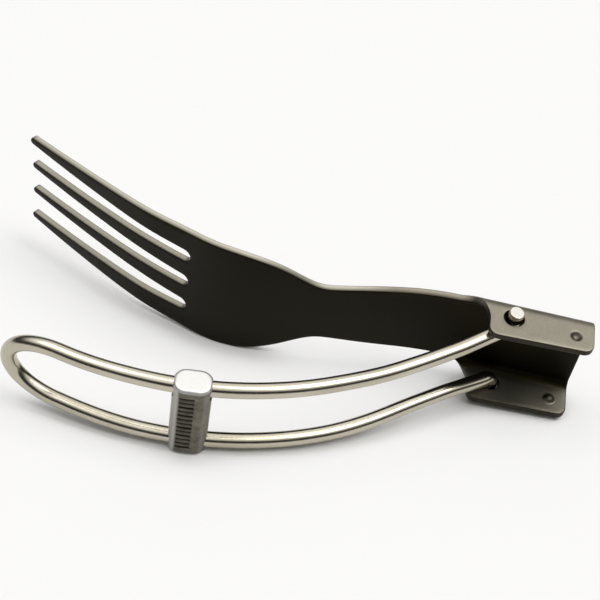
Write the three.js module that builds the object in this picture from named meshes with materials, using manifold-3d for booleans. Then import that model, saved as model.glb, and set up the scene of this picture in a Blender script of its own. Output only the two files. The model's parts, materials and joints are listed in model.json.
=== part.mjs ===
// Folding fork lying on its side: a stamped sheet head, a bent wire handle and a slider that locks it open.
// Millimetres. The hinge axis is vertical (+Z), the rear channel runs along X, tines point to -X.
import * as THREE from 'three';
import { mergeVertices } from 'three/addons/utils/BufferGeometryUtils.js';
import Module from 'manifold-3d';

const wasm = await Module();
wasm.setup();

// Stock and fits
const SHEET = 1.2;
const WIRE = 2.5;
const PIN_CLEARANCE = 0.4;
const SLIDER_CLEARANCE = 0.15;

// Rear channel of the head, measured from the hinge axis
const CHANNEL_WIDTH = 18.2;
const CHANNEL_REAR = 12.85;
const CHANNEL_FLOOR = 2.3;
const FLOOR_SLOPE = 2.3;
const BEND_INNER = 1.4;
const FLANGE_EDGE = -4;
const FLANGE_FRONT = -3.75;
const FLANGE_CORNER = 1.6;
const FLANGE_RISE = 3.9;
const FLANGE_SWEEP_FROM = -1.2;
const FLANGE_SWEEP_PULL = 0.6;
const FLARE = 1.2;
const DIMPLE_AT = [9.95, -1.25];
const DIMPLE_BALL = 1.5;
const DIMPLE_DENT = 0.35;
const DIMPLE_BUMP = 0.45;

// Side profile of the head from the rear end to past the tips: length of each stretch and how far it turns
const CHANNEL_RUN = 20;
const DIP_RUN = 10;
const NECK_RUN = 9;
const SHOULDER_RUN = 13;
const HEAD_BEND_RUN = 12;
const TINE_BEND_RUN = 16;
const TIP_RUN = 21;
const PROFILE = [
  { run: CHANNEL_RUN, turn: 0 },
  { run: DIP_RUN, turn: -10.8 },
  { run: NECK_RUN, turn: 0 },
  { run: SHOULDER_RUN, turn: 3.1 },
  { run: HEAD_BEND_RUN, turn: 26.6 },
  { run: TINE_BEND_RUN, turn: 8.2 },
  { run: TIP_RUN, turn: 3.3 },
];

// Outline of the head seen square on
const HEAD_HALF = 11.6;
const HEAD_WIDEST = -46;
const TINE_SIDE = [-62, 11.4];
const TIP_HALF = 9.49;
const TIP_AT = -82;
const NECK_HALF = 6.1;
const NECK_AT = -29;
const NECK_REAR_HALF = 7.2;
const NECK_IN = [-21, 7.25];
const NECK_OUT = [-26, 6.1];
const SHOULDER_IN = [-33.5, 6.1];
const SHOULDER_OUT = [-36, 11.6];

// Tines
const TINE_ROOT = [-51.9, 1.8];
const TINE_SLOPE = 29;
const TINE_LENGTH = 34.2;
const TINE_PITCH = 5.95;
const SLOT_ROOT_HALF = 1.25;
const TIP_ROUND = 0.62;

// Wire handle: heading of the legs at the hinge, then an arc, then the end loop
const LEG_HEADING = 36.3;
const LEG_STRAIGHT = 20;
const HANDLE_RADIUS = 59.4;
const HANDLE_SWEEP = 50.2;
const HANDLE_LENGTH = 82.3;
const LOOP_DEPTH = 8.5;
const LEG_HALF_PIN = 6.4;
const LEG_HALF_WAIST = 5.7;
const LEG_HALF_GRIP = 6.6;
const LEG_HALF_LOOP = 6.3;
const WAIST_IN = [2, 10];
const WAIST_OUT = [14, 32];
const LOOP_TAPER = [60, HANDLE_LENGTH - LOOP_DEPTH];
const PIN_BEND = 1.9;
const PIN_PROUD = 1.3;

// Lock slider: its middle along the legs, and its block
const SLIDER_AT = 52.8;
const SLIDER_LENGTH = 6;
const SLIDER_DEPTH = 4.6;
const SLIDER_HEIGHT = 16.4;
const SLIDER_CORNER = 2;
const SLIDER_EDGE = 0.7;
const HOLE_STRETCH = 0.6;
const GROOVE_AT = -0.6;
const GROOVE_WIDTH = 2.3;
const GROOVE_HEIGHT = 0.55;
const GROOVE_DEPTH = 0.3;
const GROOVE_PITCH = 1.04;
const GROOVES = 13;

// Cutting shapes run past what they cut, and lap each other
const CUT_OVERRUN = 8;
const CUT_LAP = 0.2;
const OUTLINE_CUT = 80;
const SLOT_CUT = 20;

const BEND_OUTER = BEND_INNER + SHEET;
const FLANGE_OUT = CHANNEL_WIDTH / 2;
const WEB_HALF = FLANGE_OUT - BEND_OUTER;
const Z = new THREE.Vector3(0, 0, 1);

const radians = THREE.MathUtils.degToRad;
const FLOOR_FRONT = CHANNEL_FLOOR + (CHANNEL_REAR - FLANGE_FRONT) * Math.tan(radians(FLOOR_SLOPE));
const ease = (s, [from, to]) => THREE.MathUtils.smoothstep(s, from, to);

function solid(geometry) {
  geometry.deleteAttribute('normal');
  geometry.deleteAttribute('uv');
  const welded = mergeVertices(geometry, 1e-4);
  const vertProperties = new Float32Array(welded.attributes.position.array);
  const triVerts = new Uint32Array(welded.index.array);
  return new wasm.Manifold(new wasm.Mesh({ numProp: 3, vertProperties, triVerts }));
}

function named(name, body, colour, roughness) {
  const made = body.getMesh();
  const geometry = new THREE.BufferGeometry();
  geometry.setAttribute('position', new THREE.BufferAttribute(new Float32Array(made.vertProperties), 3));
  geometry.setIndex(new THREE.BufferAttribute(new Uint32Array(made.triVerts), 1));
  geometry.computeVertexNormals();
  const material = new THREE.MeshStandardMaterial({ color: colour, metalness: 1, roughness });
  const mesh = new THREE.Mesh(geometry, material);
  mesh.name = name;
  return mesh;
}

// A shape drawn in the plane of axes a and b, extruded both ways along a x b.
function prism(shape, a, b, depth, origin = new THREE.Vector3(), curveSegments = 10) {
  const geometry = new THREE.ExtrudeGeometry(shape, { depth, bevelEnabled: false, curveSegments });
  geometry.translate(0, 0, -depth / 2);
  const basis = new THREE.Matrix4().makeBasis(a, b, new THREE.Vector3().crossVectors(a, b));
  geometry.applyMatrix4(basis.setPosition(origin));
  return solid(geometry);
}

function cylinder(radius, height, segments) {
  return solid(new THREE.CylinderGeometry(radius, radius, height, segments).rotateX(Math.PI / 2));
}

function ball(radius, at) {
  return solid(new THREE.SphereGeometry(radius, 20, 12).translate(...at));
}

// A path whose rings sit exactly on the given points.
class Rings extends THREE.Curve {
  constructor(points) {
    super();
    this.points = points;
  }

  getPointAt(u) {
    return this.points[Math.round(u * (this.points.length - 1))].clone();
  }

  getTangentAt(u) {
    const last = this.points.length - 1;
    const i = Math.round(u * last);
    const here = this.points[i];
    const sum = new THREE.Vector3();
    if (i > 0) sum.add(here.clone().sub(this.points[i - 1]).normalize());
    if (i < last) sum.add(this.points[i + 1].clone().sub(here).normalize());
    return sum.normalize();
  }
}

// A round bar along the points, or one stretched by the given height.
function tube(points, radius, stretch = 0) {
  const round = new THREE.Shape();
  round.absarc(stretch / 2, 0, radius, -Math.PI / 2, Math.PI / 2, false);
  round.absarc(-stretch / 2, 0, radius, Math.PI / 2, 1.5 * Math.PI, false);
  const path = new Rings(points);
  const options = { steps: points.length - 1, extrudePath: path, curveSegments: 5 };
  return solid(new THREE.ExtrudeGeometry(round, options));
}

function spread(from, to, steps) {
  return Array.from({ length: steps + 1 }, (_, i) => from + ((to - from) * i) / steps);
}

// Sheet profile: points on the back face and the front face, from the rear end to past the tips.
function sheetProfile() {
  const back = [];
  const front = [];
  const at = new THREE.Vector2(CHANNEL_REAR, CHANNEL_FLOOR);
  let slope = radians(FLOOR_SLOPE);
  const mark = () => {
    back.push(at.clone());
    front.push(new THREE.Vector2(at.x + SHEET * Math.sin(slope), at.y + SHEET * Math.cos(slope)));
  };
  mark();
  for (const { run, turn } of PROFILE) {
    const steps = Math.max(1, Math.ceil(Math.abs(turn) / 2));
    for (let i = 0; i < steps; i += 1) {
      slope += radians(turn) / steps / 2;
      at.x -= (run / steps) * Math.cos(slope);
      at.y += (run / steps) * Math.sin(slope);
      slope += radians(turn) / steps / 2;
      mark();
    }
  }
  return new THREE.Shape([...back, ...front.reverse()]);
}

// A closed shape from one half of its edge and that edge mirrored across the first axis.
function mirrored(half) {
  const edge = half.getPoints(10);
  const other = edge.map((p) => new THREE.Vector2(p.x, -p.y)).reverse();
  return new THREE.Shape([...edge, ...other]);
}

// Outline seen square on, from the channel to past the tips, where the slots cut the tines free.
function headOutline() {
  const half = new THREE.Path();
  half.moveTo(CHANNEL_REAR, WEB_HALF);
  half.lineTo(FLANGE_FRONT, WEB_HALF);
  half.lineTo(FLANGE_FRONT - FLARE, NECK_REAR_HALF + FLARE / 4);
  const rise = FLANGE_FRONT - FLANGE_RISE;
  half.quadraticCurveTo(FLANGE_FRONT - 2 * FLARE, NECK_REAR_HALF, rise, NECK_REAR_HALF);
  half.bezierCurveTo(...NECK_IN, ...NECK_OUT, NECK_AT, NECK_HALF);
  half.bezierCurveTo(...SHOULDER_IN, ...SHOULDER_OUT, HEAD_WIDEST, HEAD_HALF);
  half.quadraticCurveTo(...TINE_SIDE, TIP_AT, TIP_HALF);
  half.lineTo(2 * TIP_AT - TINE_SIDE[0], 2 * TIP_HALF - TINE_SIDE[1]);
  return mirrored(half);
}

// Flange and its bend, seen along the channel from its floor, with a lap into the floor sheet.
function flangeSection() {
  const reach = -2 * SHEET + FLANGE_EDGE - FLOOR_FRONT;
  const section = new THREE.Shape();
  section.moveTo(WEB_HALF - SHEET, 0);
  section.lineTo(WEB_HALF, 0);
  section.absarc(WEB_HALF, -BEND_INNER, BEND_INNER, Math.PI / 2, 0, true);
  section.lineTo(FLANGE_OUT - SHEET, reach);
  section.lineTo(FLANGE_OUT, reach);
  section.lineTo(FLANGE_OUT, -BEND_INNER);
  section.absarc(WEB_HALF, -BEND_INNER, BEND_OUTER, 0, Math.PI / 2, false);
  section.lineTo(WEB_HALF - SHEET, SHEET);
  return section;
}

// Flange seen from the side: round free corners, and a front edge that sweeps into the neck.
function flangeSide() {
  const low = FLANGE_EDGE + FLANGE_CORNER;
  const top = FLOOR_FRONT + SHEET;
  const rise = FLANGE_FRONT - FLANGE_RISE;
  const sweep = rise + FLANGE_CORNER;
  const side = new THREE.Shape();
  side.moveTo(CHANNEL_REAR, top);
  side.lineTo(CHANNEL_REAR, low);
  side.absarc(CHANNEL_REAR - FLANGE_CORNER, low, FLANGE_CORNER, 0, -Math.PI / 2, true);
  side.lineTo(FLANGE_FRONT + FLANGE_CORNER, FLANGE_EDGE);
  side.absarc(FLANGE_FRONT + FLANGE_CORNER, low, FLANGE_CORNER, -Math.PI / 2, -Math.PI, true);
  side.lineTo(FLANGE_FRONT, FLANGE_SWEEP_FROM);
  side.bezierCurveTo(FLANGE_FRONT, FLANGE_SWEEP_PULL, sweep, FLOOR_FRONT, rise, top);
  return side;
}

// Gap between two tines: round root, sides that open towards the tips, round tine ends.
function slotShape() {
  const end = TINE_LENGTH - TIP_ROUND;
  const half = new THREE.Path();
  half.moveTo(0, 0);
  half.absarc(SLOT_ROOT_HALF, 0, SLOT_ROOT_HALF, Math.PI, Math.PI / 2, true);
  half.lineTo(end, TINE_PITCH / 2 - TIP_ROUND);
  half.absarc(end, TINE_PITCH / 2, TIP_ROUND, -Math.PI / 2, 0, false);
  half.lineTo(TINE_LENGTH + CUT_OVERRUN, TINE_PITCH / 2 + CUT_LAP);
  return mirrored(half);
}

// What is cut away beside an outer tine's end.
function outerTipShape() {
  const end = TINE_LENGTH - TIP_ROUND;
  const middle = 1.5 * TINE_PITCH;
  const shape = new THREE.Shape();
  shape.moveTo(end, middle + TIP_ROUND);
  shape.absarc(end, middle, TIP_ROUND, Math.PI / 2, 0, true);
  shape.lineTo(TINE_LENGTH + CUT_OVERRUN, middle - CUT_LAP);
  shape.lineTo(TINE_LENGTH + CUT_OVERRUN, HEAD_HALF);
  shape.lineTo(end, HEAD_HALF);
  return shape;
}

function forkHead() {
  const X = new THREE.Vector3(1, 0, 0);
  const Y = new THREE.Vector3(0, 1, 0);
  const slope = radians(FLOOR_SLOPE);
  const floorUp = new THREE.Vector3(Math.sin(slope), Math.cos(slope), 0);
  const rear = new THREE.Vector3(CHANNEL_REAR, CHANNEL_FLOOR, 0);
  const length = 2 * (CHANNEL_REAR - FLANGE_FRONT + FLANGE_RISE);
  const side = prism(flangeSide(), X, Y, 2 * CHANNEL_WIDTH);
  let head = prism(sheetProfile(), X, Y, 2 * (HEAD_HALF + CUT_LAP));
  head = head.intersect(prism(headOutline(), X, Z, OUTLINE_CUT));
  for (const k of [1, -1]) {
    let flange = prism(flangeSection(), Z, floorUp, length, rear);
    if (k < 0) flange = flange.mirror([0, 0, 1]);
    head = head.add(flange.intersect(side));
  }
  const along = new THREE.Vector3(-Math.cos(radians(TINE_SLOPE)), Math.sin(radians(TINE_SLOPE)), 0);
  const root = new THREE.Vector3(...TINE_ROOT, 0);
  for (const k of [-1, 0, 1]) {
    const at = root.clone().setZ(k * TINE_PITCH);
    head = head.subtract(prism(slotShape(), along, Z, SLOT_CUT, at));
  }
  const beside = prism(outerTipShape(), along, Z, SLOT_CUT, root);
  head = head.subtract(beside).subtract(beside.mirror([0, 0, 1]));
  head = head.subtract(cylinder(WIRE / 2 + PIN_CLEARANCE, 2 * CHANNEL_WIDTH, 28));
  const inner = FLANGE_OUT - SHEET;
  for (const k of [1, -1]) {
    const bump = ball(DIMPLE_BALL, [...DIMPLE_AT, k * (inner - DIMPLE_BUMP + DIMPLE_BALL)]);
    const dent = ball(DIMPLE_BALL, [...DIMPLE_AT, k * (FLANGE_OUT - DIMPLE_DENT + DIMPLE_BALL)]);
    const sheetOnly = cylinder(2 * DIMPLE_BALL, SHEET + DIMPLE_BUMP, 24).translate([
      ...DIMPLE_AT,
      k * (FLANGE_OUT - (SHEET + DIMPLE_BUMP) / 2),
    ]);
    head = head.add(bump.intersect(sheetOnly)).subtract(dent);
  }
  return head;
}

// Plan position of the legs at a distance s from the hinge axis.
function legPlan(s) {
  const heading = radians(LEG_HEADING);
  const turned = Math.min(Math.max(s - LEG_STRAIGHT, 0) / HANDLE_RADIUS, radians(HANDLE_SWEEP));
  const straight = Math.min(s, LEG_STRAIGHT);
  const beyond = Math.max(s - LEG_STRAIGHT - HANDLE_RADIUS * radians(HANDLE_SWEEP), 0);
  const at = new THREE.Vector2(-Math.cos(heading), -Math.sin(heading)).multiplyScalar(straight);
  const last = heading - turned;
  at.x += HANDLE_RADIUS * (Math.sin(last) - Math.sin(heading)) - beyond * Math.cos(last);
  at.y += HANDLE_RADIUS * (Math.cos(heading) - Math.cos(last)) - beyond * Math.sin(last);
  return at;
}

// Half the spacing of the legs at s: close to the flanges at the pins, a waist, then wider to the loop.
function legHalf(s) {
  const flare = (LEG_HALF_PIN - LEG_HALF_WAIST) * (1 - ease(s, WAIST_IN));
  const open = (LEG_HALF_GRIP - LEG_HALF_WAIST) * ease(s, WAIST_OUT);
  const close = (LEG_HALF_GRIP - LEG_HALF_LOOP) * ease(s, LOOP_TAPER);
  return LEG_HALF_WAIST + flare + open - close;
}

function legPoint(s, z) {
  const p = legPlan(s);
  return new THREE.Vector3(p.x, p.y, z);
}

function wireHandle() {
  const points = [new THREE.Vector3(0, 0, FLANGE_OUT + PIN_PROUD)];
  for (const a of spread(0, 90, 6).map(radians)) {
    const back = PIN_BEND * (1 - Math.cos(a));
    points.push(legPoint(back, legHalf(back) + PIN_BEND * (1 - Math.sin(a))));
  }
  const loopStart = HANDLE_LENGTH - LOOP_DEPTH;
  const stations = [
    ...spread(PIN_BEND, WAIST_IN[1], 6).slice(1),
    ...spread(WAIST_OUT[0], LOOP_TAPER[0], 22),
    ...spread(LOOP_TAPER[0], loopStart, 6).slice(1),
  ];
  for (const s of stations) points.push(legPoint(s, legHalf(s)));
  for (const a of spread(0, 90, 12).slice(1).map(radians)) {
    points.push(legPoint(loopStart + LOOP_DEPTH * Math.sin(a), LEG_HALF_LOOP * Math.cos(a)));
  }
  const lower = points.slice(0, -1).map((p) => new THREE.Vector3(p.x, p.y, -p.z));
  return tube([...points, ...lower.reverse()], WIRE / 2);
}

function lockSlider() {
  const l = SLIDER_LENGTH / 2 - SLIDER_EDGE;
  const d = SLIDER_DEPTH / 2 - SLIDER_EDGE;
  const r = SLIDER_CORNER - SLIDER_EDGE;
  const block = new THREE.Shape();
  block.absarc(l - r, d - r, r, 0, Math.PI / 2, false);
  block.absarc(r - l, d - r, r, Math.PI / 2, Math.PI, false);
  block.absarc(r - l, r - d, r, Math.PI, 1.5 * Math.PI, false);
  block.absarc(l - r, r - d, r, 1.5 * Math.PI, 2 * Math.PI, false);
  const geometry = new THREE.ExtrudeGeometry(block, {
    depth: SLIDER_HEIGHT - 2 * SLIDER_EDGE,
    bevelThickness: SLIDER_EDGE,
    bevelSize: SLIDER_EDGE,
    bevelSegments: 4,
    curveSegments: 6,
  });
  geometry.translate(0, 0, SLIDER_EDGE - SLIDER_HEIGHT / 2);
  let slider = solid(geometry);
  const groove = solid(new THREE.BoxGeometry(GROOVE_WIDTH, 2 * GROOVE_DEPTH, GROOVE_HEIGHT));
  for (let i = 0; i < GROOVES; i += 1) {
    const z = (i - (GROOVES - 1) / 2) * GROOVE_PITCH;
    slider = slider.subtract(groove.translate([GROOVE_AT, -SLIDER_DEPTH / 2, z]));
  }
  const turned = LEG_HEADING - THREE.MathUtils.radToDeg((SLIDER_AT - LEG_STRAIGHT) / HANDLE_RADIUS);
  const middle = legPlan(SLIDER_AT);
  slider = slider.rotate([0, 0, turned]).translate([middle.x, middle.y, 0]);
  const run = spread(SLIDER_AT - SLIDER_LENGTH, SLIDER_AT + SLIDER_LENGTH, 8);
  for (const k of [1, -1]) {
    const hole = run.map((s) => legPoint(s, k * (LEG_HALF_GRIP - HOLE_STRETCH / 2)));
    slider = slider.subtract(tube(hole, WIRE / 2 + SLIDER_CLEARANCE, HOLE_STRETCH));
  }
  return slider;
}

const group = new THREE.Group();
group.name = 'folding_fork';
group.add(named('fork_head', forkHead(), 0x8d8880, 0.5));
group.add(named('wire_handle', wireHandle(), 0xb7b0a4, 0.25));
group.add(named('lock_slider', lockSlider(), 0xa9a49b, 0.4));

// The lowest point stands on z = 0, and the box is centred over the origin.
const box = new THREE.Box3().setFromObject(group);
const middle = box.getCenter(new THREE.Vector3());
for (const mesh of group.children) {
  mesh.geometry.translate(-middle.x, -middle.y, -box.min.z);
}

export default group;
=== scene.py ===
"""Folding fork on its side: finished meshes, materials, floor, light and camera.

Lengths are millimetres from the hinge axis unless a name says otherwise; meshes are made in metres.
"""

import json
from math import ceil, cos, hypot, pi, radians, sin

import bmesh
import bpy
import numpy as np
from mathutils import Matrix, Vector
from mathutils.geometry import delaunay_2d_cdt


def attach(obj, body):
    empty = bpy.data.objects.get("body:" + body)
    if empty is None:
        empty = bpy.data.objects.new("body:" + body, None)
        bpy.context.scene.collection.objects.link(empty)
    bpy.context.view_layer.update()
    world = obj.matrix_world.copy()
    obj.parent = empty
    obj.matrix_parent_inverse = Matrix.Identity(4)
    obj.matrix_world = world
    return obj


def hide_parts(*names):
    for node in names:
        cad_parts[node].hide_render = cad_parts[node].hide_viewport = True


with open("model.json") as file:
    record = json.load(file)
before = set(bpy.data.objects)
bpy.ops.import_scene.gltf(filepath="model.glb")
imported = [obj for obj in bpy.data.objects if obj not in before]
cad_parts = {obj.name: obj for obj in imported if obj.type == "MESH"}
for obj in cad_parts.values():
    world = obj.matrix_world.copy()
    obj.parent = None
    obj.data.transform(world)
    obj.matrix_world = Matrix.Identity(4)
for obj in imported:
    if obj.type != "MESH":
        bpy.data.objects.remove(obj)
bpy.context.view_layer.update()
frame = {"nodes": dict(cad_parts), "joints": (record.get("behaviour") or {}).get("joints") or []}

MM = 0.001
HINGE = Vector(next(j for j in frame["joints"] if j["name"] == "handle_fold")["pos_m"])

# Stock
SHEET = 1.2
WIRE = 2.5
EDGE_ROUND = 0.2

# Rear channel of the head
CHANNEL_WIDTH = 18.2
CHANNEL_REAR = 12.85
CHANNEL_FLOOR = 2.3
FLOOR_SLOPE = 2.3
BEND_INNER = 1.4
FLANGE_EDGE = -4.0
FLANGE_FRONT = -3.75
FLANGE_CORNER = 1.6
FLANGE_SWEEP_FROM = -1.2
FLANGE_SWEEP_PULL = 1.9
DIMPLE_AT = (9.95, -1.25)
DIMPLE_RADIUS = 1.1
DIMPLE_FLAT = 0.25
DIMPLE_DEPTH = 0.6
# Share of the painted sheen left on the dimple walls: painted shade in the dimples
DIMPLE_WALL_SHEEN = 0.45

# Pivot holes in the upper (1) and lower (-1) flange: radius and place of the middle
PIN_HOLES = {1: (1.55, (0.0, -0.12)), -1: (1.5, (-0.06, -0.13))}

# Side profile of the head from the rear end to past the tips:
# length of each stretch and its turn in degrees
PROFILE = ((20, 0), (10, -10.8), (9, 0), (13, 3.1), (12, 26.6), (16, 8.2), (21, 3.3))

# Outline of the head seen square on
HEAD_HALF = 11.6
HEAD_WIDEST = -46.0
TINE_SIDE = (-62.0, 11.4)
NECK_HALF = 6.1
NECK_AT = -29.0
NECK_REAR_HALF = 7.2
NECK_REAR_AT = -8.2
NECK_REAR_PULL = (3.4, 0.8)
NECK_IN = (-21.0, 7.25)
NECK_OUT = (-26.0, 6.1)
SHOULDER_IN = (-33.5, 6.1)
SHOULDER_OUT = (-36.0, 11.6)
LIP_END = -24.0

# Four tines, half a pitch and one and a half pitches either side of the middle
TINE_ROOT = -51.9
TINE_LENGTH = 34.2
TINE_PITCH = 5.95
SLOT_ROOT_HALF = 1.25
TIP_ROUND = 0.62
OUTER_TINES_BACK = 0.35
OUTER_TINES_BEND = 10.0

# Painted sheen on the sheet where light falls: 1 is full sheen, 0 as dark as the back; and a painted
# highlight along its edges
HIGHLIGHT_FROM = (-18.0, -26.0)
SLOT_HIGHLIGHT = 0.42
# Painted shade on the flanges' edges, which face away from the light, lighter towards the front sweep
FLANGE_EDGE_SHEEN = 0.09
FLANGE_FRONT_SHEEN = 0.35
# Painted light on the flanges' inner faces, which light reaches through the channel's open sides
FLANGE_INNER_SHEEN = 0.68
NECK_EDGE_SHEEN = 0.75
SLOT_FADE = 0.4
SIDE_FADE = 0.85

# Wire handle
LEG_HEADING = 36.3
LEG_STRAIGHT = 20.0
HANDLE_RADIUS = 59.4
HANDLE_SWEEP = 50.2
HANDLE_LENGTH = 82.3
LOOP_DEPTH = 8.5
LEG_HALF_PIN = 6.4
LEG_HALF_WAIST = 5.7
LEG_HALF_GRIP = 6.6
LEG_HALF_LOOP = 6.3
WAIST_IN = (2.0, 10.0)
WAIST_OUT = (14.0, 32.0)
LOOP_TAPER = (60.0, HANDLE_LENGTH - LOOP_DEPTH)
PIN_BEND = 1.9
PIN_PROUD = 1.3
PIN_ROUND = 0.2
PIN_LEAN = (0.2, 0.06)

# Lock slider
SLIDER_AT = 52.8
SLIDER_LENGTH = 6.0
SLIDER_DEPTH = 4.6
SLIDER_HEIGHT = 16.4
SLIDER_CORNER = 2.0
SLIDER_EDGE = 0.7
SLIDER_CLEARANCE = 0.15
HOLE_STRETCH = 0.6
GROOVE_AT = -0.6
GROOVE_WIDTH = 2.3
GROOVE_HEIGHT = 0.55
GROOVE_DEPTH = 0.3
GROOVE_PITCH = 1.04
GROOVES = 13
GROOVE_SOFT = 0.1
# Share of the grooves' painted shade laid on the ribs between them
RIB_SHADE = 0.4

# Lightening of the block's upright corners towards the loop and the hinge, and the distances from its
# ends where it starts and is full
CORNER_LIGHTENING = (0.7, 0.16)
CORNER_LIGHTENING_SPAN = (1.3, 0.8)

# Metal tones
BACK_DARK = (0.0105, 0.0083, 0.004)
BACK_LIGHT = (0.0148, 0.012, 0.0064)
# Painted sheen: a lit copy of the sheet's tone, for faces where light falls
SHEEN_DARK = (0.185, 0.172, 0.137)
SHEEN_LIGHT = (0.262, 0.243, 0.194)
# Painted highlight along the head's edges
TINE_EDGE_HIGHLIGHT = (0.47, 0.45, 0.375)
WIRE_WARM = (0.455, 0.42, 0.335)
WIRE_PALE = (0.55, 0.512, 0.42)
PIN_CUT = (0.62, 0.61, 0.57)
BLOCK_DARK = (0.07, 0.064, 0.045)
BLOCK_LIGHT = (0.215, 0.2, 0.16)
# Painted highlight on the block's ends, also laid on its lighter upright corners
BLOCK_LIGHTENED = (0.6, 0.594, 0.57)
# Painted shade in the block's grooves
BLOCK_GROOVE_SHADE = (0.02, 0.016, 0.01)

# Grain and gloss: noise scales, spans of roughness, and bump distance in metres with its strength
NOISE_SPAN = (0.3, 0.7)
SHEET_CLOUD = 140.0
SHEET_GRAIN = 5200.0
SHEET_CLOUD_SHARE = 0.4
SHEET_ROUGHNESS = (0.42, 0.52)
SHEET_BUMP = (0.00003, 0.5)
WIRE_STRETCH = (0.03, 6.0, 6.0)
WIRE_LINES = 4.0
WIRE_CLOUD = 90.0
WIRE_ROUGHNESS = (0.15, 0.25)
WIRE_BUMP = (0.00002, 0.25)
CUT_ROUGHNESS = 0.5
BLOCK_CLOUD = 650.0
BLOCK_GRAIN = 3600.0
BLOCK_ROUGHNESS = (0.42, 0.55)
BLOCK_BUMP = (0.00004, 0.5)

# Fineness of the meshes
CURVE_STEPS = 20
ARC_STEPS = 10
BISECTIONS = 40
WELD = 1e-6
EDGE_STEP = 0.6
EDGE_TURNS = 4
SLOT_STEPS = 16
HOLE_SIDES = 40
WEB_FIRST_ROW = 0.45
WEB_ROWS = 8
BEND_ROWS = 13
FLANGE_ROW_STEP = 0.7
FLANGE_ROW_REACH = 8.0
ALONG_FIRST = 0.5
ALONG_STEP = 0.8
DIMPLE_RINGS = 9
DIMPLE_RING_SPAN = (0.1, 1.2)
DIMPLE_SIDES = 20
DIMPLE_CLEAR = 1.35
WIRE_SIDES = 32
PIN_STEPS = 8
PIN_END_ARC = (75, 0)
PIN_END_STEPS = 6
PIN_BEND_STEPS = 13
LEG_STEPS = 120
LOOP_STEPS = 25
SLIDER_FRONT_STEPS = 24
SLIDER_CORNER_STEPS = (24, 16)
SLIDER_EDGE_STEPS = 9
SLIDER_ROWS = 180
CUTTER_STEPS = 25
SHARP_ANGLE = 50.0
NORMAL_WEIGHT = 100

# Floor: half its side and the reach of its contact shade in metres, its slopes, and how white it is
FLOOR_HALF = 6.0
FLOOR_SLOPES = (0.0224, -0.1373)
FLOOR_COLOUR = (0.92, 0.92, 0.919)
FLOOR_GLOW = 0.5
FLOOR_WHITE = 0.955
FLOOR_CORNER = 0.006
FLOOR_OPEN = (0.6, 0.88)
FLOOR_ROUGHNESS = 0.9

# Light: strength of each window with the way to it, and the room's bright ceiling, whose edge is
# given as cosines from its middle and whose level is higher where metal mirrors it
WINDOWS = ((1.5, (0.4, 0.08, 1.0)), (0.75, (-0.42, 0.1, 1.0)))
WINDOW_WIDTH = 40.0
WINDOW_COLOUR = (1.0, 0.985, 0.96)
ROOM_TILT = 12.0
ROOM_NARROWING = 0.72
ROOM_EDGE = (0.43, 0.78)
ROOM_DARK = 0.04
ROOM_LIGHT = 0.56
ROOM_SHEEN = 1.25

# Camera: angles in degrees, and the pixel where the aim point falls
IMAGE = 600
SENSOR = 36.0
FOCAL_PIXELS = 1423.0
CAMERA_HEIGHT = 50.0
CAMERA_ROLL = 11.1
CAMERA_DISTANCE = 230.0
AIM = (0.3, 0.7, 0.0)
AIM_PIXEL = (503, 349.6)
CLIP_START = 0.01

BEND_MID = BEND_INNER + SHEET / 2
WEB_HALF = CHANNEL_WIDTH / 2 - BEND_INNER - SHEET


def placed(x, y, z):
    """A point from the hinge axis in millimetres, as a place in the frame in metres."""
    return HINGE + Vector((x, y, z)) * MM


def ease(value, low, high):
    """0 at low and 1 at high, with a smooth rise between."""
    t = min(max((value - low) / (high - low), 0), 1)
    return t * t * (3 - 2 * t)


def bezier(*pulls):
    """Points of the curve from the first to the last of the given points, pulled by those between."""
    points = []
    for i in range(CURVE_STEPS + 1):
        t = i / CURVE_STEPS
        row = pulls
        while len(row) > 1:
            row = [((1 - t) * a[0] + t * b[0], (1 - t) * a[1] + t * b[1]) for a, b in zip(row, row[1:])]
        points.append(row[0])
    return points


def arc(centre, radius, start, end, steps=ARC_STEPS):
    """Points of a circular arc between two angles in degrees."""
    turns = [radians(start + (end - start) * i / steps) for i in range(steps + 1)]
    return [(centre[0] + radius * cos(a), centre[1] + radius * sin(a)) for a in turns]


def spaced(points, step):
    """The closed run of points with more of them on its long straight stretches."""
    out = []
    for a, b in zip(points, points[1:] + points[:1]):
        du, dv = b[0] - a[0], b[1] - a[1]
        count = max(1, ceil(hypot(du, dv) / step))
        out += [(a[0] + du * i / count, a[1] + dv * i / count) for i in range(count)]
    return out


# Side profile of the head


def stretches():
    """Where each stretch of the profile starts along the sheet, with its point, slope and turn rate."""
    made = []
    along, x, y, slope = 0.0, CHANNEL_REAR, CHANNEL_FLOOR, radians(FLOOR_SLOPE)
    for run, turn in PROFILE:
        rate = radians(turn) / run
        made.append((along, x, y, slope, rate))
        x, y, slope = along_arc(run, x, y, slope, rate)
        along += run
    return made


def along_arc(run, x, y, slope, rate):
    """Point and slope at the end of a run that turns at a steady rate."""
    last = slope + rate * run
    if rate == 0:
        return x - run * cos(slope), y + run * sin(slope), last
    return x - (sin(last) - sin(slope)) / rate, y - (cos(last) - cos(slope)) / rate, last


STRETCHES = stretches()


def profile(u):
    """Point on the sheet's back face at a distance u from the rear end, and the sheet's slope there."""
    start = [s for s in STRETCHES if s[0] <= max(u, 0)][-1]
    return along_arc(u - start[0], *start[1:])


def along_at(x):
    """Distance along the sheet at which the profile passes x."""
    low, high = 0.0, sum(run for run, _ in PROFILE)
    for _ in range(BISECTIONS):
        middle = (low + high) / 2
        low, high = (middle, high) if profile(middle)[0] > x else (low, middle)
    return low


def flange_point(x, y):
    """A flange point seen from the side, as a place on the flat sheet before bending."""
    slope = radians(FLOOR_SLOPE)
    back, up = CHANNEL_REAR - x, y - CHANNEL_FLOOR
    depth = SHEET / 2 + back * sin(slope) - up * cos(slope)
    return back * cos(slope) + up * sin(slope), WEB_HALF + BEND_MID * (pi / 2 - 1) + depth


# Flat pattern of the head


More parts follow.
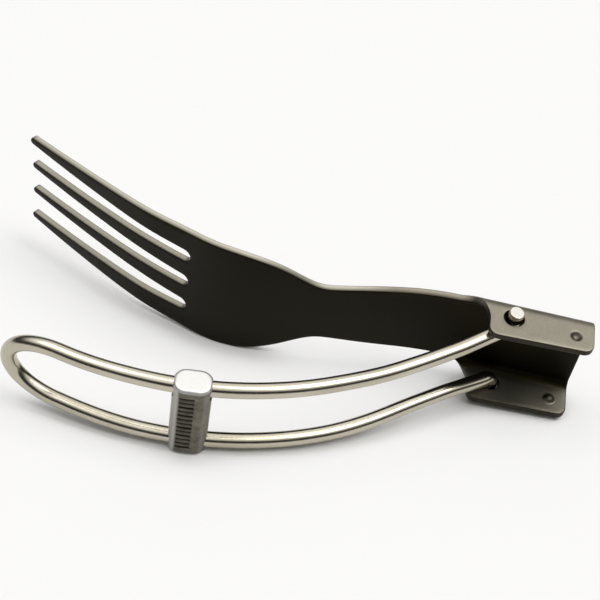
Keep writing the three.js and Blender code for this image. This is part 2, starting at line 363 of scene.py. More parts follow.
def head_edge():
    """Edge of the flat sheet: half of it from the rear end to the middle slot, then its mirror image."""
    low = FLANGE_EDGE + FLANGE_CORNER
    rear = arc((CHANNEL_REAR - FLANGE_CORNER, low), FLANGE_CORNER, 0, -90)
    front = arc((FLANGE_FRONT + FLANGE_CORNER, low), FLANGE_CORNER, -90, -180)
    half = [(0.0, 0.0), (0.0, WEB_HALF)]
    half += [flange_point(*p) for p in rear + front]
    sweep = flange_point(FLANGE_FRONT, FLANGE_SWEEP_FROM)
    neck = (along_at(NECK_REAR_AT), NECK_REAR_HALF)
    swept_up = (sweep[0], sweep[1] - FLANGE_SWEEP_PULL)
    neck_pull = (neck[0] - NECK_REAR_PULL[0], neck[1] + NECK_REAR_PULL[1])
    half += bezier(sweep, swept_up, neck_pull, neck)[:-1]
    tip = TINE_ROOT_ALONG + TINE_LENGTH - TIP_ROUND
    gap = TINE_ROOT_ALONG + SLOT_ROOT_HALF
    widest = (HEAD_WIDEST, HEAD_HALF)
    outer_tip = (profile(tip)[0], 1.5 * TINE_PITCH + TIP_ROUND)
    side = bezier((NECK_REAR_AT, NECK_REAR_HALF), NECK_IN, NECK_OUT, (NECK_AT, NECK_HALF))[:-1]
    side += bezier((NECK_AT, NECK_HALF), SHOULDER_IN, SHOULDER_OUT, widest)[:-1]
    side += bezier(widest, TINE_SIDE, outer_tip)[:-1]
    half += [(along_at(x), v) for x, v in side]
    half += arc((tip, 1.5 * TINE_PITCH), TIP_ROUND, 90, -90)
    half += arc((gap, TINE_PITCH), SLOT_ROOT_HALF, 90, 270, SLOT_STEPS)
    half += arc((tip, 0.5 * TINE_PITCH), TIP_ROUND, 90, -90)
    half += arc((gap, 0), SLOT_ROOT_HALF, 90, 180, SLOT_STEPS // 2)
    other = [(u, -v) for u, v in half[1:-1]]
    return half + other[::-1]


def pin_hole_edge(side):
    """Edge of the pivot hole in the upper (1) or lower (-1) flange."""
    radius, at = PIN_HOLES[side]
    u, v = flange_point(*at)
    return arc((u, side * v), radius, 0, 360, HOLE_SIDES)[:-1]


def inward(edge):
    """Unit vectors into the sheet along an edge that runs with the sheet on its right."""
    out = []
    for before, after in zip(edge[-1:] + edge[:-1], edge[1:] + edge[:1]):
        du, dv = after[0] - before[0], after[1] - before[1]
        size = hypot(du, dv)
        out.append((dv / size, -du / size))
    return out


LIP_END_ALONG = along_at(LIP_END)
HIGHLIGHT_ALONG = [along_at(x) for x in HIGHLIGHT_FROM]
TINE_ROOT_ALONG = along_at(TINE_ROOT)
FLANGE_FRONT_ALONG = flange_point(FLANGE_FRONT, FLANGE_EDGE)[0]


def bent(u, v, t):
    """Height and rise of a flat-pattern place, t from the sheet's middle, after bending the flanges."""
    reach = abs(v) - WEB_HALF
    if reach <= 0 or u > LIP_END_ALONG:
        return v, t
    turn = min(reach / BEND_MID, pi / 2)
    beyond = reach - BEND_MID * turn
    height = WEB_HALF + (BEND_MID + t) * sin(turn) + beyond * cos(turn)
    rise = (BEND_MID + t) * cos(turn) - BEND_MID - beyond * sin(turn)
    return (height if v > 0 else -height), rise


def pressed(u, v):
    """How far a dimple pushes the sheet inwards."""
    centre = flange_point(*DIMPLE_AT)
    off = hypot(u - centre[0], abs(v) - centre[1])
    return DIMPLE_DEPTH * ease(off, DIMPLE_RADIUS, DIMPLE_FLAT)


def laid_back(u, v):
    """How far the two outer tines lie behind the inner ones."""
    outer = ease(abs(v), TINE_PITCH - SLOT_ROOT_HALF, TINE_PITCH + SLOT_ROOT_HALF)
    return OUTER_TINES_BACK * outer * ease(u, TINE_ROOT_ALONG, TINE_ROOT_ALONG + OUTER_TINES_BEND)


def flange_share(u, v):
    """0 on the web and the head, 1 on the flanges."""
    if u >= LIP_END_ALONG:
        return 0.0
    bend_end = WEB_HALF + BEND_MID * pi / 2
    return ease(abs(v), bend_end - BEND_MID / 2, bend_end + BEND_MID / 2)


def in_slot(u, v):
    """Whether a place on the sheet's edge lies in one of the slots."""
    return u > TINE_ROOT_ALONG - EDGE_ROUND and abs(v) < 1.5 * TINE_PITCH


def edge_sheen(u, v, t):
    """Painted sheen on the sheet's edge, t from the sheet's middle: dark next to the back, lit in front;
    painted shade on the flanges' edges, which face away from the light.
    """
    flange = flange_share(u, v)
    along_head = ease(t, -SHEET / 2, (SLOT_FADE if in_slot(u, v) else SIDE_FADE) - SHEET / 2)
    along_head *= NECK_EDGE_SHEEN + (1 - NECK_EDGE_SHEEN) * ease(u, *HIGHLIGHT_ALONG)
    front = ease(u, FLANGE_FRONT_ALONG - FLANGE_CORNER, FLANGE_FRONT_ALONG)
    along_flange = FLANGE_EDGE_SHEEN + (FLANGE_FRONT_SHEEN - FLANGE_EDGE_SHEEN) * front
    if t > SHEET / 2 - EDGE_ROUND / 2:
        along_flange = 1.0
    return along_head + (along_flange - along_head) * flange


def edge_highlight_share(u, v, t):
    """Painted highlight on the edge: most along the outside of the head, less in the slots, where the
    tine above shades it.
    """
    return edge_sheen(u, v, t) * (SLOT_HIGHLIGHT if in_slot(u, v) else ease(u, *HIGHLIGHT_ALONG))


def face_sheen(u, v):
    """Painted sheen on the sheet's outer face: less on the walls of the dimples, as painted shade there.
    """
    centre = flange_point(*DIMPLE_AT)
    off = hypot(u - centre[0], abs(v) - centre[1])
    wall = ease(off, 0, DIMPLE_FLAT) * ease(off, DIMPLE_RADIUS, DIMPLE_RADIUS - DIMPLE_FLAT)
    return 1 - (1 - DIMPLE_WALL_SHEEN) * wall


def head_place(u, v, t):
    """Place in the frame of a flat-pattern place, t from the sheet's middle."""
    height, rise = bent(u, v, t - pressed(u, v))
    x, y, slope = profile(u)
    rise += SHEET / 2 - laid_back(u, v)
    return placed(x + rise * sin(slope), y + rise * cos(slope), height)


def on_sheet(points, loops):
    """Whether each point lies inside the outline and outside the holes."""
    inside = np.zeros(len(points), bool)
    pu, pv = points[:, :1], points[:, 1:]
    for loop in loops:
        a = np.array(loop)
        b = np.roll(a, -1, 0)
        spans = (a[:, 1] > pv) != (b[:, 1] > pv)
        run = np.where(a[:, 1] == b[:, 1], 1, b[:, 1] - a[:, 1])
        crossing = a[:, 0] + (pv - a[:, 1]) * (b[:, 0] - a[:, 0]) / run
        inside ^= (spans & (pu < crossing)).sum(1) % 2 == 1
    return inside


def clear_of(points, loops, margin):
    """Whether each point lies more than the margin from the edges."""
    edge = np.array([p for loop in loops for p in loop])
    return np.hypot(points[:, :1] - edge[:, 0], points[:, 1:] - edge[:, 1]).min(1) > margin


def sheet_lattice(loops):
    """Places inside the flat pattern: rows along it, close in the bends, and rings on the dimples."""
    bend_end = WEB_HALF + BEND_MID * pi / 2
    halves = list(np.linspace(WEB_FIRST_ROW, WEB_HALF, WEB_ROWS))
    halves += list(np.linspace(WEB_HALF, bend_end, BEND_ROWS)[1:])
    halves += list(np.arange(bend_end + FLANGE_ROW_STEP, bend_end + FLANGE_ROW_REACH, FLANGE_ROW_STEP))
    stations = np.arange(ALONG_FIRST, sum(run for run, _ in PROFILE), ALONG_STEP)
    points = np.array([(u, side * v) for u in stations for v in halves for side in (1, -1)])
    u, v = flange_point(*DIMPLE_AT)
    off_dimple = np.hypot(points[:, 0] - u, np.abs(points[:, 1]) - v)
    points = points[off_dimple > DIMPLE_CLEAR * DIMPLE_RADIUS]
    rings = []
    for side in (1, -1):
        for radius in np.linspace(*DIMPLE_RING_SPAN, DIMPLE_RINGS) * DIMPLE_RADIUS:
            rings += arc((u, side * v), radius, 0, 360, DIMPLE_SIDES)[:-1]
    points = np.vstack([points, rings])
    return points[on_sheet(points, loops) & clear_of(points, loops, 2 * EDGE_ROUND)]


def new_object(name, points, faces, material):
    """A smooth mesh in the scene, with its faces turned outwards."""
    mesh = bpy.data.meshes.new(name)
    mesh.from_pydata([tuple(p) for p in points], [], faces)
    work = bmesh.new()
    work.from_mesh(mesh)
    bmesh.ops.recalc_face_normals(work, faces=work.faces)
    work.to_mesh(mesh)
    work.free()
    mesh.shade_smooth()
    mesh.materials.append(material)
    made = bpy.data.objects.new(name, mesh)
    bpy.context.scene.collection.objects.link(made)
    return made


def weigh_normals(piece):
    """Keep flat faces flat beside their rounded edges."""
    modifier = piece.modifiers.new("weighted normals", "WEIGHTED_NORMAL")
    modifier.weight = NORMAL_WEIGHT
    modifier.keep_sharp = True


def add_values(piece, name, values):
    """A named value for each of the piece's points, for its material to read."""
    piece.data.attributes.new(name, "FLOAT", "POINT").data.foreach_set("value", values)


def bridged(first, second):
    """Quads between two closed rows of as many points."""
    ends = zip(first, first[1:] + first[:1], second[1:] + second[:1], second)
    return [tuple(corners) for corners in ends]


def tube(rings):
    """Points and faces of a closed bar through rings of as many points."""
    points = [p for ring in rings for p in ring]
    sides = len(rings[0])
    rows = [list(range(i * sides, (i + 1) * sides)) for i in range(len(rings))]
    faces = [tuple(rows[0][::-1]), tuple(rows[-1])]
    for row, following in zip(rows, rows[1:]):
        faces += bridged(row, following)
    return points, faces


def shifted(loop, steps, distance):
    """The points of a loop moved along their steps."""
    return [(u + distance * du, v + distance * dv) for (u, v), (du, dv) in zip(loop, steps)]


def sheet_face(inner, loops):
    """Points and triangles of one face of the sheet, and where each inner edge point went."""
    flat = [p for loop in inner for p in loop]
    links, start = [], 0
    for loop in inner:
        links += [(start + i, start + (i + 1) % len(loop)) for i in range(len(loop))]
        start += len(loop)
    flat += list(sheet_lattice(loops))
    flat = [Vector(p) for p in flat]
    spots, _, triangles, sources, _, _ = delaunay_2d_cdt(flat, links, [], 0, WELD)
    found = {source: spot for spot, given in enumerate(sources) for source in given}
    middles = np.array([sum((spots[i] for i in t), Vector((0, 0))) / 3 for t in triangles])
    kept = [t for t, inside in zip(triangles, on_sheet(middles, inner)) if inside]
    return spots, kept, found


def edge_rings():
    """Rows round the sheet's edge from its outer face to its back: distance out and from the middle."""
    turns = [radians(90 * (i + 1) / EDGE_TURNS) for i in range(EDGE_TURNS)]
    outer = [(EDGE_ROUND * sin(a), SHEET / 2 - EDGE_ROUND * (1 - cos(a))) for a in turns]
    fades = [(EDGE_ROUND, fade - SHEET / 2) for fade in (SIDE_FADE, SLOT_FADE)]
    return outer + fades + [(out, -t) for out, t in reversed(outer)]


def fork_head(material):
    """The bent sheet: its two faces, and rows of quads round its edge and holes."""
    loops = [spaced(head_edge(), EDGE_STEP), pin_hole_edge(1), pin_hole_edge(-1)]
    inner = [shifted(loop, inward(loop), EDGE_ROUND) for loop in loops]
    spots, triangles, found = sheet_face(inner, loops)
    points = [head_place(*spot, SHEET / 2) for spot in spots]
    points += [head_place(*spot, -SHEET / 2) for spot in spots]
    edge_highlight = [0.0] * len(points)
    # Painted sheen all over the outer face; on the back face only on the flanges, as painted light inside
    # the channel
    painted_sheen = [face_sheen(*spot) for spot in spots]
    painted_sheen += [FLANGE_INNER_SHEEN * flange_share(*spot) * face_sheen(*spot) for spot in spots]
    faces = [tuple(t) for t in triangles]
    faces += [tuple(len(spots) + i for i in reversed(t)) for t in triangles]
    start = 0
    for loop, edge in zip(inner, loops):
        steps = inward(edge)
        row = [found[start + i] for i in range(len(loop))]
        last = [len(spots) + i for i in row]
        # The holes' walls get neither sheen nor highlight: painted shade in the holes
        outside = 1.0 if edge is loops[0] else 0.0
        for out, t in edge_rings():
            ring = list(range(len(points), len(points) + len(loop)))
            points += [head_place(u, v, t) for u, v in shifted(loop, steps, -out)]
            edge_highlight += [outside * edge_highlight_share(u, v, t) for u, v in loop]
            painted_sheen += [outside * edge_sheen(u, v, t) for u, v in loop]
            faces += bridged(row, ring)
            row = ring
        faces += bridged(row, last)
        start += len(loop)
    made = new_object("fork_head_sheet", points, faces, material)
    # Painted edge highlight and painted sheen, for the material to read
    add_values(made, "edge_highlight", edge_highlight)
    add_values(made, "painted_sheen", painted_sheen)
    weigh_normals(made)
    return made


# Wire handle


def leg_plan(s):
    """Plan position of the legs at a distance s from the hinge axis, and their heading there."""
    heading = radians(LEG_HEADING)
    sweep = radians(HANDLE_SWEEP)
    turned = min(max(s - LEG_STRAIGHT, 0) / HANDLE_RADIUS, sweep)
    straight = min(s, LEG_STRAIGHT)
    beyond = max(s - LEG_STRAIGHT - HANDLE_RADIUS * sweep, 0)
    last = heading - turned
    x = -straight * cos(heading) + HANDLE_RADIUS * (sin(last) - sin(heading)) - beyond * cos(last)
    y = -straight * sin(heading) + HANDLE_RADIUS * (cos(heading) - cos(last)) - beyond * sin(last)
    return x, y, last


def leg_half(s):
    """Half the spacing of the legs: close to the flanges at the pins, a waist, then wider to the loop."""
    flare = (LEG_HALF_PIN - LEG_HALF_WAIST) * (1 - ease(s, *WAIST_IN))
    opened = (LEG_HALF_GRIP - LEG_HALF_WAIST) * ease(s, *WAIST_OUT)
    closed = (LEG_HALF_GRIP - LEG_HALF_LOOP) * ease(s, *LOOP_TAPER)
    return LEG_HALF_WAIST + flare + opened - closed


def leg_point(s, z):
    """A place on the legs' arc, at a height z from the middle."""
    return Vector((*leg_plan(s)[:2], z))


def wire_path():
    """The wire's middle line from the upper pin round the loop to the lower pin."""
    top = CHANNEL_WIDTH / 2 + PIN_PROUD
    bend_end = LEG_HALF_PIN + PIN_BEND
    half = []
    for share in np.linspace(1, 0, PIN_STEPS)[:-1]:
        height = bend_end + share * (top - PIN_ROUND - bend_end)
        half.append(Vector((PIN_LEAN[0] * share, PIN_LEAN[1] * share, height)))
    for a in np.radians(np.linspace(0, 90, PIN_BEND_STEPS)):
        back = PIN_BEND * (1 - cos(a))
        half.append(leg_point(back, leg_half(back) + PIN_BEND * (1 - sin(a))))
    loop_start = HANDLE_LENGTH - LOOP_DEPTH
    half += [leg_point(s, leg_half(s)) for s in np.linspace(PIN_BEND, loop_start, LEG_STEPS)[1:]]
    for a in np.radians(np.linspace(0, 90, LOOP_STEPS))[1:]:
        half.append(leg_point(loop_start + LOOP_DEPTH * sin(a), LEG_HALF_LOOP * cos(a)))
    other = [Vector((p.x, p.y, -p.z)) for p in half[:-1]]
    return half + other[::-1]


def tangents(path):
    """Unit direction of the path at each of its points."""
    ends = zip(path[:1] + path[:-1], path[1:] + path[-1:])
    return [(after - before).normalized() for before, after in ends]


def swept(path, section):
    """Rings of the section's (across, up) points, carried along the path without twist."""
    ways = tangents(path)
    across = ways[0].orthogonal().normalized()
    rings = []
    for point, way in zip(path, ways):
        across = (across - way * across.dot(way)).normalized()
        up = way.cross(across)
        rings.append([point + across * a + up * b for a, b in section])
    return rings


def pin_end(middle, ring, outward):
    """Rings that round off the wire's end beyond its last ring."""
    rings = []
    for a in np.radians(np.linspace(*PIN_END_ARC, PIN_END_STEPS)):
        scale = 1 - PIN_ROUND * (1 - sin(a)) / (WIRE / 2)
        out = PIN_ROUND * cos(a)
        rings.append([middle + (p - middle) * scale + outward * out for p in ring])
    return rings


def wire_handle(material):
    """The bent wire, with its length and angle for the draw lines and its cut ends marked."""
    path = wire_path()
    turns = [2 * pi * i / WIRE_SIDES for i in range(WIRE_SIDES)]
    rings = swept(path, [(WIRE / 2 * cos(a), WIRE / 2 * sin(a)) for a in turns])
    upward = (path[0] - path[-1]).normalized()
    first = pin_end(path[0], rings[0], upward)
    last = pin_end(path[-1], rings[-1], -upward)
    rings = first[::-1] + rings + last
    points, faces = tube(rings)
    made = new_object("wire_handle_wire", [placed(*p) for p in points], faces, material)
    along, drawn = 0.0, []
    centres = [sum(ring, Vector()) / WIRE_SIDES for ring in rings]
    for before, here in zip(centres[:1] + centres[:-1], centres):
        along += (here - before).length
        for a in turns:
            drawn += (along, cos(a), sin(a))
    made.data.attributes.new("drawn", "FLOAT_VECTOR", "POINT").data.foreach_set("vector", drawn)
    ends = (0, len(rings) - 1)
    add_values(made, "cut", [1.0 if i in ends else 0.0 for i in range(len(rings)) for _ in turns])
    weigh_normals(made)
    return made


# Lock slider


def slider_ring(inset):
    """The block's plan outline, drawn in by inset, with its front finely divided."""
    corner = SLIDER_CORNER - inset
    half_length = SLIDER_LENGTH / 2 - SLIDER_CORNER
    half_depth = SLIDER_DEPTH / 2 - SLIDER_CORNER
    loop_side, hinge_side = SLIDER_CORNER_STEPS
    shares = [2 * i / SLIDER_FRONT_STEPS - 1 for i in range(1, SLIDER_FRONT_STEPS)]
    ring = [(half_length * share, -half_depth - corner) for share in shares]
    ring += arc((half_length, -half_depth), corner, -90, 0, hinge_side)
    ring += arc((half_length, half_depth), corner, 0, 90)
    ring += arc((-half_length, half_depth), corner, 90, 180)
    return ring + arc((-half_length, -half_depth), corner, 180, 270, loop_side)


def ribbed_share(a, d, z):
    """1 in the strip of grooves on the block's front, 0 beside it."""
    reach = (GROOVES - 1) * GROOVE_PITCH / 2 + GROOVE_HEIGHT / 2
    across = ease(GROOVE_WIDTH / 2 - abs(a - GROOVE_AT), 0, GROOVE_SOFT)
    return across * ease(reach - abs(z), 0, GROOVE_SOFT) if d < 0 else 0.0


def groove_share(a, d, z):
    """1 in the grooves themselves, 0 beside them."""
    off = abs(z - round(z / GROOVE_PITCH) * GROOVE_PITCH)
    return ribbed_share(a, d, z) * ease(GROOVE_HEIGHT / 2 - off, 0, GROOVE_SOFT)


def groove_shade_share(a, d, z):
    """Painted shade on the block: full in the grooves, less on the ribs between them."""
    return max(groove_share(a, d, z), RIB_SHADE * ribbed_share(a, d, z))


def lightened_share(a, d, z):
    """1 on the block's ends, a painted highlight, and partly on its upright corners, which are lighter; 0
    on its sides.
    """
    end = ease(abs(z), SLIDER_HEIGHT / 2 - SLIDER_EDGE, SLIDER_HEIGHT / 2 - SLIDER_EDGE / 3)
    corner = ease(SLIDER_LENGTH / 2 - abs(a), *CORNER_LIGHTENING_SPAN)
    loop_side, hinge_side = CORNER_LIGHTENING
    return max(end, (loop_side if a < 0 else hinge_side) * corner)


def slider_block():
    """The rounded block with its grooves, before the holes are cut."""
    half = SLIDER_HEIGHT / 2
    turns = np.radians(np.linspace(0, 90, SLIDER_EDGE_STEPS))
    lower = [(SLIDER_EDGE * (1 - sin(a)), -half + SLIDER_EDGE * (1 - cos(a))) for a in turns]
    middle = [(0, z) for z in np.linspace(-half + SLIDER_EDGE, half - SLIDER_EDGE, SLIDER_ROWS)[1:-1]]
    upper = [(inset, -z) for inset, z in reversed(lower)]
    rings = []
    for inset, z in lower + middle + upper:
        plan = slider_ring(inset)
        rings.append([Vector((a, d + GROOVE_DEPTH * groove_share(a, d, z), z)) for a, d in plan])
    return tube(rings)


def slider_turn():
    """From the block's own along, across and up lengths to places from the hinge axis."""
    x, y, turned = leg_plan(SLIDER_AT)
    return Matrix.Translation((x, y, 0)) @ Matrix.Rotation(turned, 4, "Z")


def hole_cutter(side):
    """A bar along one leg, taller than the wire towards the other leg."""
    stations = np.linspace(SLIDER_AT - SLIDER_LENGTH, SLIDER_AT + SLIDER_LENGTH, CUTTER_STEPS)
    path = [leg_point(s, side * (LEG_HALF_GRIP - HOLE_STRETCH / 2)) for s in stations]
    radius = WIRE / 2 + SLIDER_CLEARANCE
    section = []
    for i in range(HOLE_SIDES):
        a = 2 * pi * (i + 0.5) / HOLE_SIDES
        stretch = HOLE_STRETCH / 2 if sin(a) > 0 else -HOLE_STRETCH / 2
        section.append((radius * cos(a), radius * sin(a) + stretch))
    up = Vector((0, 0, 1))
    rings = []
    for point, way in zip(path, tangents(path)):
        across = way.cross(up).normalized()
        rings.append([placed(*(point + across * out + up * lift)) for out, lift in section])
    return tube(rings)


def lock_slider(material):
    """The block on the legs with its two holes cut, and its painted groove shade, painted end highlight
    and lighter corners marked.
    """
    turn = slider_turn()
    points, faces = slider_block()
    made = new_object("lock_slider_block", [placed(*(turn @ p)) for p in points], faces, material)
    for side in (1, -1):
        cutter = new_object("hole", *hole_cutter(side), material)
        modifier = made.modifiers.new("hole", "BOOLEAN")
        modifier.operation = "DIFFERENCE"
        modifier.object = cutter
        worked = made.evaluated_get(bpy.context.evaluated_depsgraph_get())
        cut = bpy.data.meshes.new_from_object(worked)
        made.modifiers.clear()
        made.data = cut
        bpy.data.objects.remove(cutter)
    made.data.name = made.name
    own = [turn.inverted() @ ((vertex.co - HINGE) / MM) for vertex in made.data.vertices]
    # Painted shade in the grooves and on the ribs between them
    add_values(made, "groove_shade", [groove_shade_share(*p) for p in own])
    # Painted highlight on the block's ends, and its lighter corners
    add_values(made, "lightened", [lightened_share(*p) for p in own])
    made.data.set_sharp_from_angle(angle=radians(SHARP_ANGLE))
    weigh_normals(made)
    return made


# Materials


class Graph:
    """The shader nodes of a material or the world, with helpers that add to them."""

    def __init__(self, owner, shader):
        owner.use_nodes = True
        self.owner = owner
        self.tree = owner.node_tree
        self.shader = self.tree.nodes[shader]

    def put(self, socket, value):
        """Link another node's output to the socket, or set a constant on it."""
        if isinstance(value, bpy.types.NodeSocket):
            self.tree.links.new(value, socket)
        else:
            socket.default_value = value

    def feed(self, name, value):
        self.put(self.shader.inputs[name], value)

    def node(self, kind, inputs=(), **settings):
        made = self.tree.nodes.new(kind)
        for key, value in settings.items():
            setattr(made, key, value)
        for key, value in dict(inputs).items():
            self.put(made.inputs[key], value)
        return made

    def place(self):
        return self.node("ShaderNodeTexCoord").outputs["Object"]

    def attribute(self, name, output):
        return self.node("ShaderNodeAttribute", attribute_name=name).outputs[output]

    def noise(self, vector, scale, detail=3.0, roughness=0.55):
        inputs = {"Vector": vector, "Scale": scale, "Detail": detail, "Roughness": roughness}
        return self.node("ShaderNodeTexNoise", inputs).outputs["Fac"]

    def ramp(self, value, low, high, span=NOISE_SPAN, **settings):
        """The value stretched from a span, by default the noise's usual one, to low to high."""
        inputs = {"Value": value, "From Min": span[0], "From Max": span[1], "To Min": low, "To Max": high}
        return self.node("ShaderNodeMapRange", inputs, **settings).outputs["Result"]

    def math(self, operation, first, second):
        return self.node("ShaderNodeMath", {0: first, 1: second}, operation=operation).outputs[0]

    def vector(self, operation, output, *inputs):
        made = self.node("ShaderNodeVectorMath", enumerate(inputs), operation=operation)
        return made.outputs[output]

    def mix(self, share, first, second):
        """A colour between two, each given as a tone or as another node's output."""
        made = self.node("ShaderNodeMix", {"Factor": share}, data_type="RGBA")
        for key, value in (("A", first), ("B", second)):
            socket = next(s for s in made.inputs if s.name == key and s.type == "RGBA")
            self.put(socket, (*value, 1) if isinstance(value, tuple) else value)
        return next(s for s in made.outputs if s.type == "RGBA")

    def blend(self, share, first, second):
        """A surface between two."""
        inputs = {"Fac": share, 1: first, 2: second}
        return self.node("ShaderNodeMixShader", inputs).outputs["Shader"]

    def bump(self, height, distance, strength):
        inputs = {"Height": height, "Distance": distance, "Strength": strength}
        self.feed("Normal", self.node("ShaderNodeBump", inputs).outputs["Normal"])


def metal(name):
    """The shader nodes of a new metal."""
    graph = Graph(bpy.data.materials.new(name), "Principled BSDF")
    graph.feed("Metallic", 1.0)
    return graph


def blasted_sheet():
    """Bead-blasted titanium: finely grained, dark on the back, with a painted sheen where light falls and
    a painted highlight along the tines' edges.
    """
    graph = metal("blasted_sheet")
    place = graph.place()
    cloud = graph.noise(place, SHEET_CLOUD)
    grain = graph.noise(place, SHEET_GRAIN, detail=2.0)
    cloud_part = graph.math("MULTIPLY", cloud, SHEET_CLOUD_SHARE)
    grain_part = graph.math("MULTIPLY", grain, 1 - SHEET_CLOUD_SHARE)
    tone = graph.ramp(graph.math("ADD", cloud_part, grain_part), 0, 1)
    back = graph.mix(tone, BACK_DARK, BACK_LIGHT)
    painted_sheen = graph.mix(tone, SHEEN_DARK, SHEEN_LIGHT)
    # Painted sheen laid over the back's own dark tone
    sheet = graph.mix(graph.attribute("painted_sheen", "Fac"), back, painted_sheen)
    # Painted highlight along the head's edges
    graph.feed("Base Color", graph.mix(graph.attribute("edge_highlight", "Fac"), sheet, TINE_EDGE_HIGHLIGHT))
    graph.feed("Roughness", graph.ramp(cloud, *SHEET_ROUGHNESS))
    graph.bump(grain, *SHEET_BUMP)
    return graph.owner


def drawn_wire():
    """Smooth wire with faint draw lines along it and duller cut ends."""
    graph = metal("drawn_wire")
    stretch = {"Vector": graph.attribute("drawn", "Vector"), "Scale": WIRE_STRETCH}
    stretched = graph.node("ShaderNodeMapping", stretch).outputs["Vector"]
    lines = graph.noise(stretched, WIRE_LINES, detail=4.0)
    cloud = graph.noise(graph.place(), WIRE_CLOUD)
    cut = graph.attribute("cut", "Fac")
    smooth = graph.mix(graph.ramp(cloud, 0, 1), WIRE_WARM, WIRE_PALE)
    graph.feed("Base Color", graph.mix(cut, smooth, PIN_CUT))
    cut_roughness = graph.math("MULTIPLY", cut, CUT_ROUGHNESS)
    graph.feed("Roughness", graph.math("MAXIMUM", graph.ramp(lines, *WIRE_ROUGHNESS), cut_roughness))
    graph.bump(lines, *WIRE_BUMP)
    return graph.owner


def satin_block():
    """Satin cast block, mottled, with painted shade in its grooves, a painted highlight on its ends and
    lighter upright corners.
    """
    graph = metal("satin_block")
    place = graph.place()
    cloud = graph.noise(place, BLOCK_CLOUD, detail=6.0, roughness=0.65)
    grain = graph.noise(place, BLOCK_GRAIN, detail=2.0)
    mottled = graph.mix(graph.ramp(cloud, 0, 1), BLOCK_DARK, BLOCK_LIGHT)
    # Painted highlight on the block's ends, and its lighter corners
    lightened_block = graph.mix(graph.attribute("lightened", "Fac"), mottled, BLOCK_LIGHTENED)
    # Painted shade in the grooves and on the ribs between them
    graph.feed("Base Color", graph.mix(graph.attribute("groove_shade", "Fac"), lightened_block, BLOCK_GROOVE_SHADE))
    graph.feed("Roughness", graph.ramp(cloud, *BLOCK_ROUGHNESS))
    graph.bump(grain, *BLOCK_BUMP)
    return graph.owner


def floor_paper():
    """White paper, darker where the fork shades it, and clear from underneath."""
    graph = Graph(bpy.data.materials.new("floor_paper"), "Principled BSDF")
    graph.feed("Base Color", (*FLOOR_COLOUR, 1))
    graph.feed("Roughness", FLOOR_ROUGHNESS)
    graph.feed("Specular IOR Level", 0.0)
    ray = graph.node("ShaderNodeLightPath").outputs
    seen = graph.math("MAXIMUM", ray["Is Camera Ray"], ray["Is Glossy Ray"])
    seen = graph.math("MAXIMUM", seen, ray["Is Transmission Ray"])
    sky = graph.node("ShaderNodeAmbientOcclusion", {"Distance": FLOOR_CORNER}).outputs["AO"]
    glow = graph.math("MULTIPLY", seen, graph.ramp(sky, 0.0, FLOOR_GLOW, FLOOR_OPEN))
    white = graph.node("ShaderNodeEmission", {"Strength": FLOOR_WHITE}).outputs["Emission"]
    paper = graph.blend(glow, graph.shader.outputs["BSDF"], white)
    under = graph.node("ShaderNodeNewGeometry").outputs["Backfacing"]
    clear = graph.node("ShaderNodeBsdfTransparent").outputs["BSDF"]
    shown = graph.tree.nodes["Material Output"].inputs["Surface"]
    graph.put(shown, graph.blend(under, paper, clear))
    return graph.owner


# Stage, light and camera


def floor():
    """A pale surface under the fork's three resting points, tilted as the fork leans on it."""
    slope_x, slope_y = FLOOR_SLOPES
    lowest = min(
        vertex.co.z - slope_x * vertex.co.x - slope_y * vertex.co.y
        for node in frame["nodes"].values()
        for vertex in node.data.vertices
    )
    corners = [(FLOOR_HALF * i, FLOOR_HALF * j) for i, j in ((-1, -1), (1, -1), (1, 1), (-1, 1))]
    points = [(x, y, lowest + slope_x * x + slope_y * y) for x, y in corners]
    new_object("floor", points, [(0, 1, 2, 3)], floor_paper())


def windows():
    """Broad, soft light from above on either side."""
    for strength, toward in WINDOWS:
        lamp = bpy.data.lights.new("window", "SUN")
        lamp.energy = strength
        lamp.angle = radians(WINDOW_WIDTH)
        lamp.color = WINDOW_COLOUR
        window = bpy.data.objects.new("window", lamp)
        window.rotation_mode = "QUATERNION"
        window.rotation_quaternion = Vector(toward).to_track_quat("Z", "Y")
        bpy.context.scene.collection.objects.link(window)


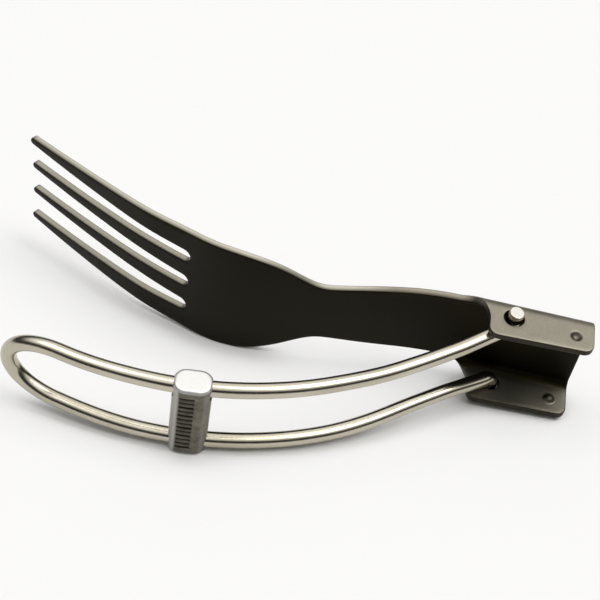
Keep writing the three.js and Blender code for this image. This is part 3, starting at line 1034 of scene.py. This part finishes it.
def room():
    """A bright ceiling and dark walls, which the metal mirrors, and a white backdrop for the camera."""
    world = bpy.data.worlds.new("studio")
    bpy.context.scene.world = world
    graph = Graph(world, "Background")
    direction = graph.node("ShaderNodeTexCoord").outputs["Generated"]
    narrowed = graph.vector("MULTIPLY", "Vector", direction, (ROOM_NARROWING, 1, 1))
    unit = graph.vector("NORMALIZE", "Vector", narrowed)
    tilt = radians(ROOM_TILT)
    facing = graph.vector("DOT_PRODUCT", "Value", unit, (0, sin(tilt), cos(tilt)))
    ray = graph.node("ShaderNodeLightPath").outputs
    bright = graph.ramp(ray["Is Glossy Ray"], ROOM_LIGHT, ROOM_SHEEN, (0, 1))
    level = graph.ramp(facing, ROOM_DARK, bright, ROOM_EDGE, interpolation_type="SMOOTHSTEP")
    graph.feed("Strength", graph.ramp(ray["Is Camera Ray"], level, FLOOR_WHITE, (0, 1)))
    graph.feed("Color", (1, 1, 1, 1))


def camera():
    """The photograph's viewpoint: its tilt, roll, distance and the pixel where the aim point falls."""
    up, roll = radians(CAMERA_HEIGHT), radians(CAMERA_ROLL)
    ahead = Vector((0, cos(up), -sin(up)))
    level = Vector((1, 0, 0))
    rise = level.cross(ahead)
    right = level * cos(roll) + rise * sin(roll)
    top = rise * cos(roll) - level * sin(roll)
    across = (AIM_PIXEL[0] - IMAGE / 2) / FOCAL_PIXELS
    down = (AIM_PIXEL[1] - IMAGE / 2) / FOCAL_PIXELS
    at = placed(*AIM) - (ahead + right * across - top * down) * CAMERA_DISTANCE * MM
    data = bpy.data.cameras.new("camera")
    data.sensor_width = SENSOR
    data.lens = SENSOR * FOCAL_PIXELS / IMAGE
    data.clip_start = CLIP_START
    made = bpy.data.objects.new("camera", data)
    turn = Matrix((right, top, -ahead)).transposed()
    made.matrix_world = Matrix.Translation(at) @ turn.to_4x4()
    bpy.context.scene.collection.objects.link(made)
    bpy.context.scene.camera = made


def main():
    bpy.context.scene.view_settings.view_transform = "Standard"
    for made, node, body, slot in (
        (fork_head(blasted_sheet()), "fork_head", "head", "head_sheet"),
        (wire_handle(drawn_wire()), "wire_handle", "handle", "handle_wire"),
        (lock_slider(satin_block()), "lock_slider", "slider", "slider_block"),
    ):
        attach(made, body)
        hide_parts(node)
    floor()
    windows()
    room()
    camera()


main()
